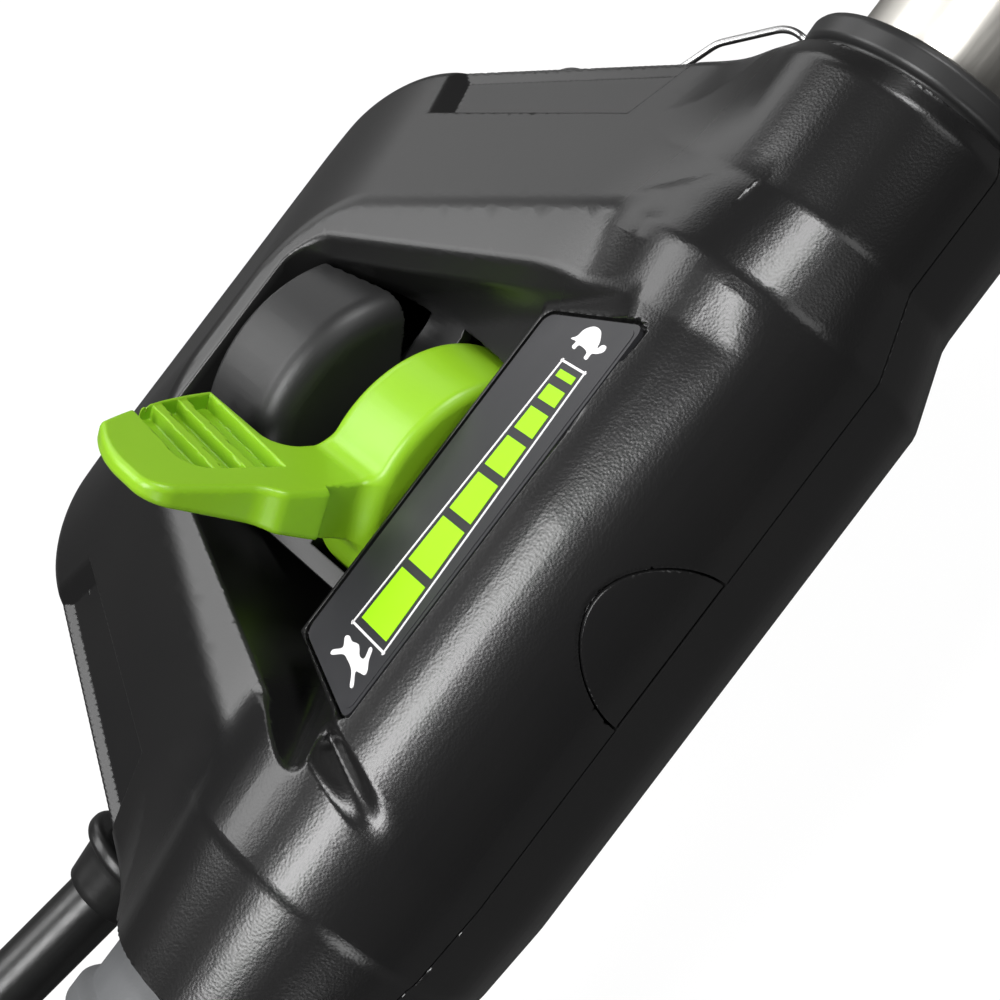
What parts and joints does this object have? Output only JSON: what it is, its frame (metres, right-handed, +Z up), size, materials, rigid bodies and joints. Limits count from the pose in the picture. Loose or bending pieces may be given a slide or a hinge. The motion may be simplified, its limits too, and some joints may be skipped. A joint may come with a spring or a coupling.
{
  "type": "string trimmer",
  "caption": "Straight-shaft battery string trimmer with a winged control housing and thumb speed lever, loop handle, line head with guard and rear battery.",
  "frame": {"origin": "middle of the footprint, on the surface that the trimmer lies on", "axes": "+X along the shaft towards the cutting head, +Z up with the shaft level, +Y towards the wing of the speed control"},
  "size_m": [1.7272, 0.2686, 0.2918],
  "materials": {
    "shell_black": "fine leather grain, satin",
    "wing_black": "smooth satin",
    "label_film": "printed film",
    "lever_lime": "moulded satin",
    "tube_silver": "satin anodised",
    "steel": "machined",
    "spring_steel": "drawn wire",
    "grip_rubber": "ribbed soft grip",
    "cable_sheath": "smooth",
    "circuit_board": "solder mask",
    "motor_copper": "windings and laminations",
    "guard_black": "moulded",
    "line_nylon": "extruded",
    "cell_wrap": "shrink wrap",
    "knob_black": "moulded"
  },
  "bodies": {
    "frame": {"control_shell_upper": "shell_black", "control_shell_lower": "shell_black", "half_round_plug": "shell_black", "label_plate": "label_film", "shaft_collar": "shell_black", "shell_screws": "steel", "sensor_cover": "wing_black", "lever_bracket": "wing_black", "lever_axle": "steel", "speed_sensor": "wing_black", "control_board": "circuit_board", "cable_gland": "cable_sheath", "control_cable": "cable_sheath", "retainer_wire": "spring_steel", "wing_screw": "steel", "grip_sleeve": "grip_rubber", "trigger_pin": "steel", "trigger_spring": "spring_steel", "trigger_switch": "wing_black", "lock_off_spring": "spring_steel", "dock_shell": "shell_black", "terminal_block": "wing_black", "power_controller": "circuit_board", "dock_feet": "grip_rubber", "latch_spring": "spring_steel", "upper_tube": "tube_silver", "shaft_coupler": "knob_black", "lower_tube": "tube_silver", "motor_lead": "cable_sheath", "hanger_ring": "steel", "handle_clamp": "knob_black", "handle_clamp_cap": "knob_black", "clamp_screws": "steel", "motor_housing": "shell_black", "motor_cover": "lever_lime", "motor_stator": "motor_copper", "motor_bearings": "steel", "guard": "guard_black", "line_cutter": "steel"},
    "speed_lever": {"speed_lever": "lever_lime"},
    "trigger": {"trigger": "knob_black"},
    "lock_off": {"lock_off_button": "lever_lime"},
    "battery": {"battery_case": "shell_black", "battery_lid": "lever_lime", "battery_cells": "cell_wrap"},
    "latch": {"battery_latch": "lever_lime"},
    "coupler_knob": {"coupler_knob": "knob_black"},
    "loop": {"loop_handle": "knob_black", "loop_grip": "grip_rubber"},
    "handle_knob": {"handle_knob": "knob_black"},
    "cutting_head": {"motor_rotor": "steel", "motor_shaft": "steel", "spool_housing": "guard_black", "spool_cover": "guard_black", "line_eyelets": "steel", "cutting_line": "line_nylon", "bump_spring": "spring_steel"},
    "spool": {"line_spool": "lever_lime", "wound_line": "line_nylon"},
    "bump_knob": {"bump_knob": "guard_black"}
  },
  "joints": [
    {"name": "speed_lever_swing", "type": "hinge", "parent": "frame", "child": "speed_lever", "pos_m": [-0.55363, 0.0225, 0.12229], "axis": [0, 1, 0], "range_deg": [-5, 65]},
    {"name": "trigger_pull", "type": "hinge", "parent": "frame", "child": "trigger", "pos_m": [-0.64763, 0, 0.11029], "axis": [0, 1, 0], "range_deg": [0, 8], "stiffness_Nm_per_rad": 0.15, "springref_deg": -8.59, "deforming": ["trigger_spring"]},
    {"name": "lock_off_press", "type": "slide", "parent": "frame", "child": "lock_off", "axis": [0, 0, -1], "range_m": [0, 0.0025], "stiffness_N_per_m": 200, "springref_m": -0.001, "deforming": ["lock_off_spring"]},
    {"name": "battery_slide", "type": "slide", "parent": "frame", "child": "battery", "axis": [0, 0, 1], "range_m": [0, 0.11]},
    {"name": "latch_press", "type": "slide", "parent": "frame", "child": "latch", "axis": [1, 0, 0], "range_m": [0, 0.0045], "stiffness_N_per_m": 200, "springref_m": -0.001, "deforming": ["latch_spring"]},
    {"name": "coupler_knob_turn", "type": "hinge", "parent": "frame", "child": "coupler_knob", "pos_m": [0.07237, 0.02, 0.11929], "axis": [0, 1, 0], "continuous": true},
    {"name": "loop_tilt", "type": "hinge", "parent": "frame", "child": "loop", "pos_m": [-0.30363, 0, 0.15079], "axis": [0, 1, 0], "range_deg": [-30, 25]},
    {"name": "handle_knob_turn", "type": "hinge", "parent": "frame", "child": "handle_knob", "pos_m": [-0.30363, -0.03, 0.15079], "axis": [0, 1, 0], "continuous": true},
    {"name": "head_spin", "type": "hinge", "parent": "frame", "child": "cutting_head", "pos_m": [0.77079, 0, 0.07014], "axis": [-0.5736, 0, 0.8192], "continuous": true},
    {"name": "spool_feed", "type": "hinge", "parent": "cutting_head", "child": "spool", "pos_m": [0.77079, 0, 0.07014], "axis": [-0.5736, 0, 0.8192], "continuous": true},
    {"name": "bump_press", "type": "slide", "parent": "cutting_head", "child": "bump_knob", "axis": [-0.5736, 0, 0.8192], "range_m": [0, 0.003], "stiffness_N_per_m": 400, "springref_m": -0.003, "deforming": ["bump_spring"]}
  ]
}
